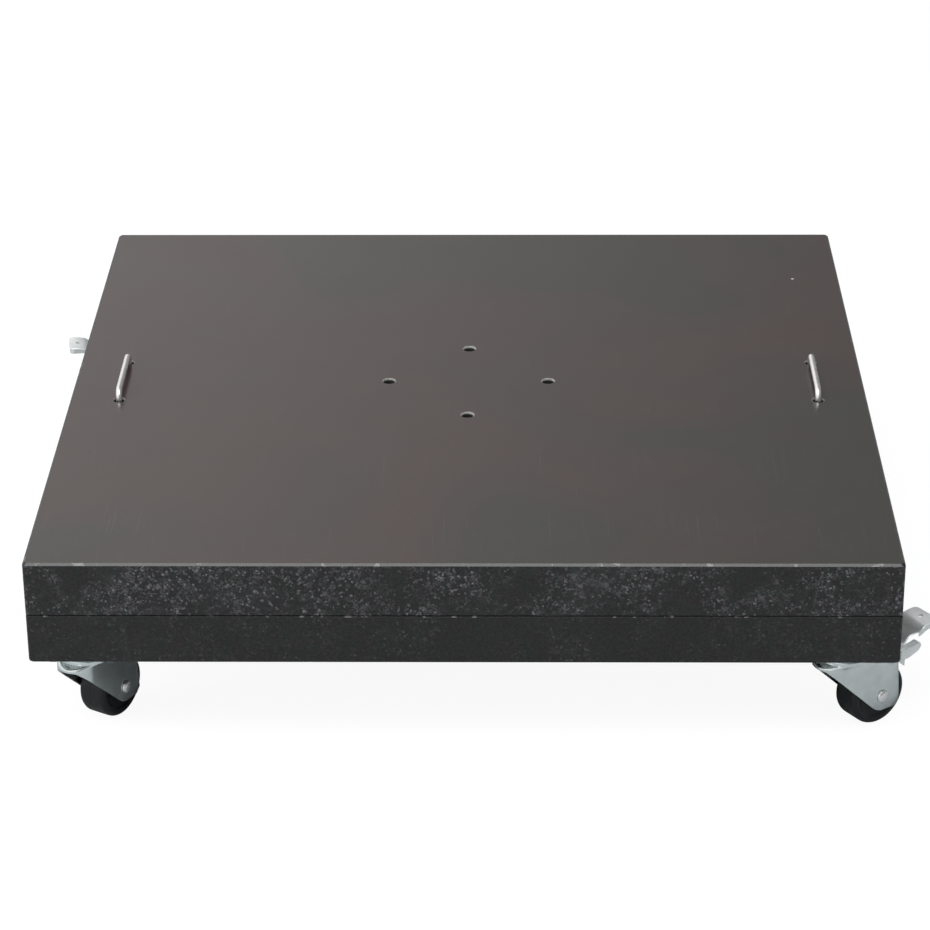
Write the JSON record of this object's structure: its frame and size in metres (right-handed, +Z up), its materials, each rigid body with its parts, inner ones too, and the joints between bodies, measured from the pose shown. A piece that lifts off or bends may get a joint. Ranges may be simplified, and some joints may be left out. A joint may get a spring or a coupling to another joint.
{
  "type": "rolling parasol base",
  "caption": "Square rolling parasol base of two stacked granite slabs with four central bolt holes, two pull-up rod handles and four braked swivel castors.",
  "frame": {"origin": "on the floor, under the centre of the square slab", "axes": "+Z up; -Y is the front edge, +X is to the right seen from the front; X and Y are parallel to the slab's sides"},
  "size_m": [0.7899, 0.7, 0.183],
  "materials": {
    "granite_top": "polished",
    "granite_base": "honed",
    "brass_insert": "machined",
    "stainless": "polished",
    "collar_steel": "machined",
    "zinc_plate": "zinc plated",
    "zinc_race": "zinc plated",
    "kingpin_steel": "zinc plated",
    "zinc_fork": "bright zinc plated",
    "wheel_black": "satin",
    "axle_steel": "bright",
    "zinc_pedal": "bright zinc plated",
    "pin_steel": "bright",
    "screw_zinc": "zinc plated"
  },
  "bodies": {
    "slabs": {"slab_upper": "granite_top", "slab_lower": "granite_base", "bolt_insert_back": "brass_insert", "bolt_insert_front": "brass_insert", "bolt_insert_left": "brass_insert", "bolt_insert_right": "brass_insert", "castor_front_right_top_plate": "zinc_plate", "castor_front_right_ball_race": "zinc_race", "castor_front_right_kingpin": "kingpin_steel", "castor_front_right_screw_1": "screw_zinc", "castor_front_right_screw_2": "screw_zinc", "castor_front_right_screw_3": "screw_zinc", "castor_front_right_screw_4": "screw_zinc", "castor_front_left_top_plate": "zinc_plate", "castor_front_left_ball_race": "zinc_race", "castor_front_left_kingpin": "kingpin_steel", "castor_front_left_screw_1": "screw_zinc", "castor_front_left_screw_2": "screw_zinc", "castor_front_left_screw_3": "screw_zinc", "castor_front_left_screw_4": "screw_zinc", "castor_rear_left_top_plate": "zinc_plate", "castor_rear_left_ball_race": "zinc_race", "castor_rear_left_kingpin": "kingpin_steel", "castor_rear_left_screw_1": "screw_zinc", "castor_rear_left_screw_2": "screw_zinc", "castor_rear_left_screw_3": "screw_zinc", "castor_rear_left_screw_4": "screw_zinc", "castor_rear_right_top_plate": "zinc_plate", "castor_rear_right_ball_race": "zinc_race", "castor_rear_right_kingpin": "kingpin_steel", "castor_rear_right_screw_1": "screw_zinc", "castor_rear_right_screw_2": "screw_zinc", "castor_rear_right_screw_3": "screw_zinc", "castor_rear_right_screw_4": "screw_zinc"},
    "handle_left": {"handle_left": "stainless", "handle_left_collar_front": "collar_steel", "handle_left_collar_back": "collar_steel"},
    "handle_right": {"handle_right": "stainless", "handle_right_collar_front": "collar_steel", "handle_right_collar_back": "collar_steel"},
    "castor_front_right_swivel": {"castor_front_right_fork": "zinc_fork", "castor_front_right_axle": "axle_steel", "castor_front_right_brake_pin": "pin_steel"},
    "castor_front_right_roller": {"castor_front_right_wheel": "wheel_black"},
    "castor_front_right_brake": {"castor_front_right_brake_pedal": "zinc_pedal"},
    "castor_front_left_swivel": {"castor_front_left_fork": "zinc_fork", "castor_front_left_axle": "axle_steel", "castor_front_left_brake_pin": "pin_steel"},
    "castor_front_left_roller": {"castor_front_left_wheel": "wheel_black"},
    "castor_front_left_brake": {"castor_front_left_brake_pedal": "zinc_pedal"},
    "castor_rear_left_swivel": {"castor_rear_left_fork": "zinc_fork", "castor_rear_left_axle": "axle_steel", "castor_rear_left_brake_pin": "pin_steel"},
    "castor_rear_left_roller": {"castor_rear_left_wheel": "wheel_black"},
    "castor_rear_left_brake": {"castor_rear_left_brake_pedal": "zinc_pedal"},
    "castor_rear_right_swivel": {"castor_rear_right_fork": "zinc_fork", "castor_rear_right_axle": "axle_steel", "castor_rear_right_brake_pin": "pin_steel"},
    "castor_rear_right_roller": {"castor_rear_right_wheel": "wheel_black"},
    "castor_rear_right_brake": {"castor_rear_right_brake_pedal": "zinc_pedal"}
  },
  "joints": [
    {"name": "handle_left_lift", "type": "slide", "parent": "slabs", "child": "handle_left", "axis": [0, 0, 1], "range_m": [0, 0.04]},
    {"name": "handle_right_lift", "type": "slide", "parent": "slabs", "child": "handle_right", "axis": [0, 0, 1], "range_m": [0, 0.04]},
    {"name": "castor_front_right_swivel_turn", "type": "hinge", "parent": "slabs", "child": "castor_front_right_swivel", "pos_m": [0.3095, -0.3095, 0.082], "axis": [0, 0, 1], "continuous": true},
    {"name": "castor_front_right_wheel_spin", "type": "hinge", "parent": "castor_front_right_swivel", "child": "castor_front_right_roller", "pos_m": [0.33366, -0.29258, 0.027], "axis": [-0.5736, 0.8192, 0], "continuous": true},
    {"name": "castor_front_right_brake_press", "type": "hinge", "parent": "castor_front_right_swivel", "child": "castor_front_right_brake", "pos_m": [0.34022, -0.28799, 0.05881], "axis": [-0.5736, 0.8192, 0], "range_deg": [0, 12]},
    {"name": "castor_front_left_swivel_turn", "type": "hinge", "parent": "slabs", "child": "castor_front_left_swivel", "pos_m": [-0.3095, -0.3095, 0.082], "axis": [0, 0, 1], "continuous": true},
    {"name": "castor_front_left_wheel_spin", "type": "hinge", "parent": "castor_front_left_swivel", "child": "castor_front_left_roller", "pos_m": [-0.29475, -0.28395, 0.027], "axis": [-0.866, 0.5, 0], "continuous": true},
    {"name": "castor_front_left_brake_press", "type": "hinge", "parent": "castor_front_left_swivel", "child": "castor_front_left_brake", "pos_m": [-0.29075, -0.27702, 0.05881], "axis": [-0.866, 0.5, 0], "range_deg": [0, 12]},
    {"name": "castor_rear_left_swivel_turn", "type": "hinge", "parent": "slabs", "child": "castor_rear_left_swivel", "pos_m": [-0.3095, 0.3095, 0.082], "axis": [0, 0, 1], "continuous": true},
    {"name": "castor_rear_left_wheel_spin", "type": "hinge", "parent": "castor_rear_left_swivel", "child": "castor_rear_left_roller", "pos_m": [-0.33855, 0.30438, 0.027], "axis": [0.1736, -0.9848, 0], "continuous": true},
    {"name": "castor_rear_left_brake_press", "type": "hinge", "parent": "castor_rear_left_swivel", "child": "castor_rear_left_brake", "pos_m": [-0.34643, 0.30299, 0.05881], "axis": [0.1736, -0.9848, 0], "range_deg": [0, 12]},
    {"name": "castor_rear_right_swivel_turn", "type": "hinge", "parent": "slabs", "child": "castor_rear_right_swivel", "pos_m": [0.3095, 0.3095, 0.082], "axis": [0, 0, 1], "continuous": true},
    {"name": "castor_rear_right_wheel_spin", "type": "hinge", "parent": "castor_rear_right_swivel", "child": "castor_rear_right_roller", "pos_m": [0.28276, 0.29703, 0.027], "axis": [0.4226, -0.9063, 0], "continuous": true},
    {"name": "castor_rear_right_brake_press", "type": "hinge", "parent": "castor_rear_right_swivel", "child": "castor_rear_right_brake", "pos_m": [0.27551, 0.29365, 0.05881], "axis": [0.4226, -0.9063, 0], "range_deg": [0, 12]}
  ]
}
